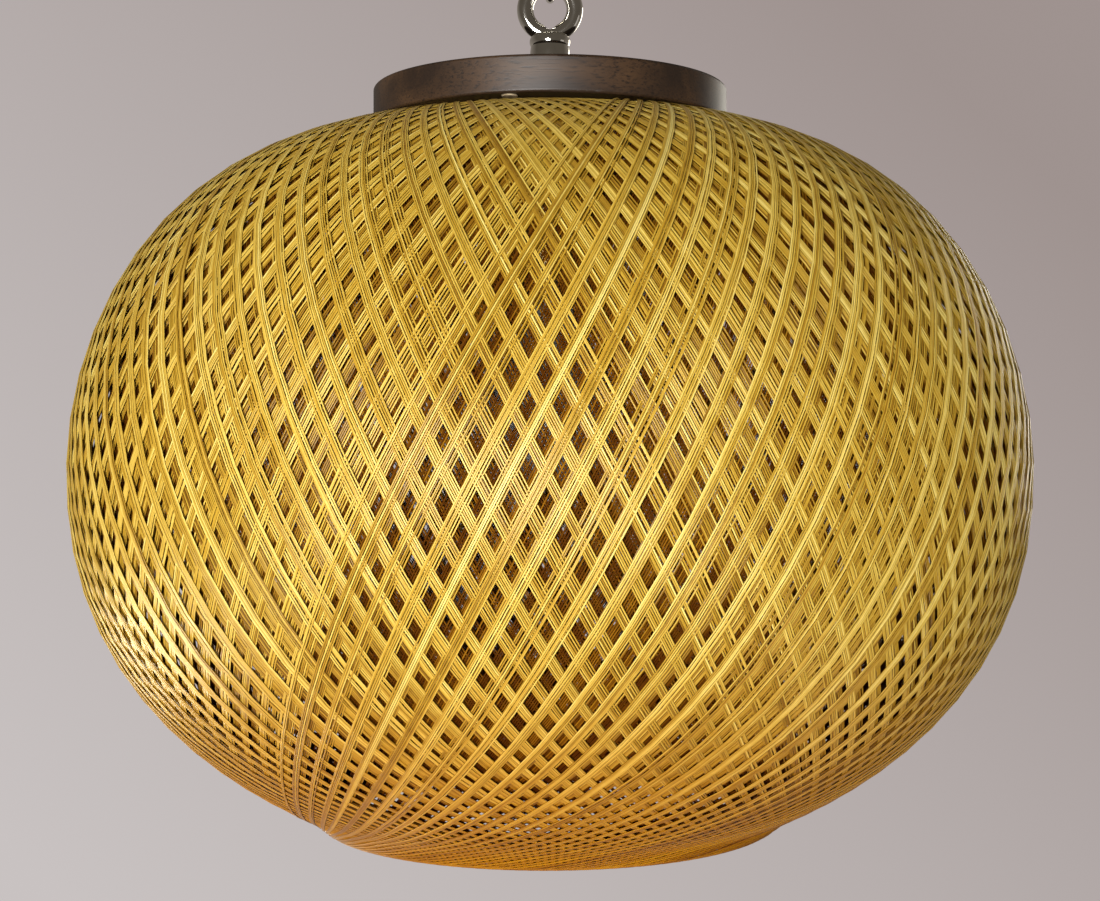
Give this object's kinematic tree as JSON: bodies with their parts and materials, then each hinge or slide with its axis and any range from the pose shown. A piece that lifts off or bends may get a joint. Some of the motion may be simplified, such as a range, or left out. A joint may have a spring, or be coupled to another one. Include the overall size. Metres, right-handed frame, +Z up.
{
  "type": "pendant lamp",
  "caption": "Swag pendant lamp: an oblate globe wound from crossed straw thread under a dark walnut disc, hung by a chrome loop and short chain from a ceiling hook.",
  "frame": {"origin": "centre of the ceiling plate's top face, between its screw holes", "axes": "+Z up out of the ceiling plate; the loop's ring and the hook lie in the XZ plane, the front faces -Y"},
  "size_m": [0.4064, 0.4064, 0.4794],
  "materials": {
    "chrome": "polished plating",
    "zinc_steel": "zinc plated",
    "walnut": "satin dark walnut",
    "felt": "pale felt",
    "straw_winding": "resin-bonded straw thread, slight gloss",
    "brass": "satin",
    "fibre": "waxed fibre",
    "moulding": "black moulding",
    "aluminium": "rolled thread",
    "solder": "solder",
    "black_glass": "vitrified insulator",
    "frosted_glass": "frosted inside",
    "clear_glass": "clear",
    "filament_wire": "drawn wire"
  },
  "bodies": {
    "ceiling_fitting": {"ceiling_plate": "chrome", "ceiling_hook": "chrome", "hook_nut": "chrome"},
    "link_1": {"chain_link_1": "chrome"},
    "link_2": {"chain_link_2": "chrome"},
    "link_3": {"chain_link_3": "chrome"},
    "lamp": {"fixture_loop": "chrome", "cap_washer": "chrome", "wood_cap": "walnut", "cap_pads": "felt", "wound_globe": "straw_winding", "threaded_nipple": "zinc_steel", "clamp_plate": "zinc_steel", "lock_washer": "zinc_steel", "clamp_nut": "zinc_steel", "socket_cap": "brass", "socket_shell": "brass", "socket_liner": "fibre", "socket_body": "moulding", "terminal_screws": "brass", "screw_shell": "aluminium", "centre_contact": "brass", "bulb_contact": "solder", "bulb_insulator": "black_glass", "bulb_cap": "aluminium", "bulb_glass": "frosted_glass", "bulb_stem": "clear_glass", "bulb_filament": "filament_wire"}
  },
  "joints": [
    {"name": "hook_swing", "type": "hinge", "parent": "ceiling_fitting", "child": "link_1", "pos_m": [0, 0, -0.03184], "axis": [1, 0, 0], "range_deg": [-20, 20]},
    {"name": "chain_swing", "type": "hinge", "parent": "link_1", "child": "link_2", "pos_m": [0, 0, -0.06134], "axis": [0, 1, 0], "range_deg": [-20, 20]},
    {"name": "chain_twist", "type": "hinge", "parent": "link_2", "child": "link_3", "pos_m": [0, 0, -0.09144], "axis": [0, 0, 1], "range_deg": [-30, 30]},
    {"name": "lamp_tilt", "type": "hinge", "parent": "link_3", "child": "lamp", "pos_m": [0, 0, -0.12154], "axis": [0, 1, 0], "range_deg": [-20, 20]}
  ]
}
